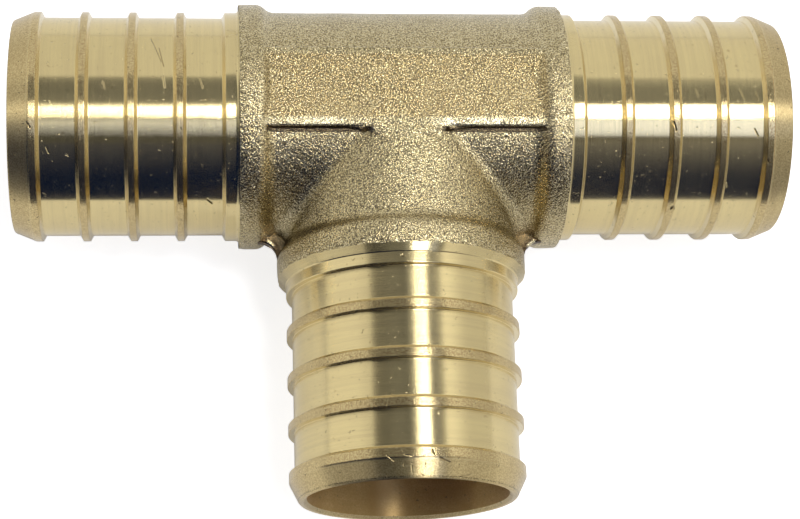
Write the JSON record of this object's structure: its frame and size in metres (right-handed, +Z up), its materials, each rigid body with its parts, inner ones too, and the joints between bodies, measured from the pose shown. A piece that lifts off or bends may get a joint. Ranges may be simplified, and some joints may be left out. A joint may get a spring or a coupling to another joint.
{
  "type": "pex crimp tee fitting",
  "caption": "Equal brass tee for crimped plastic tube: round forged body with collars, a bare label pad, ribbed insert spigots and straight bores that meet in the middle.",
  "frame": {"origin": "where the axes of the run bore and the branch bore cross", "axes": "+X along the run bore, -Y along the branch towards its end, +Z up out of the face with the label pad"},
  "size_m": [0.073, 0.0484, 0.0236],
  "materials": {
    "brass": "forged and blasted body skin, turned spigots and bores"
  },
  "bodies": {
    "root": {"tee_body": "brass"}
  },
  "joints": []
}
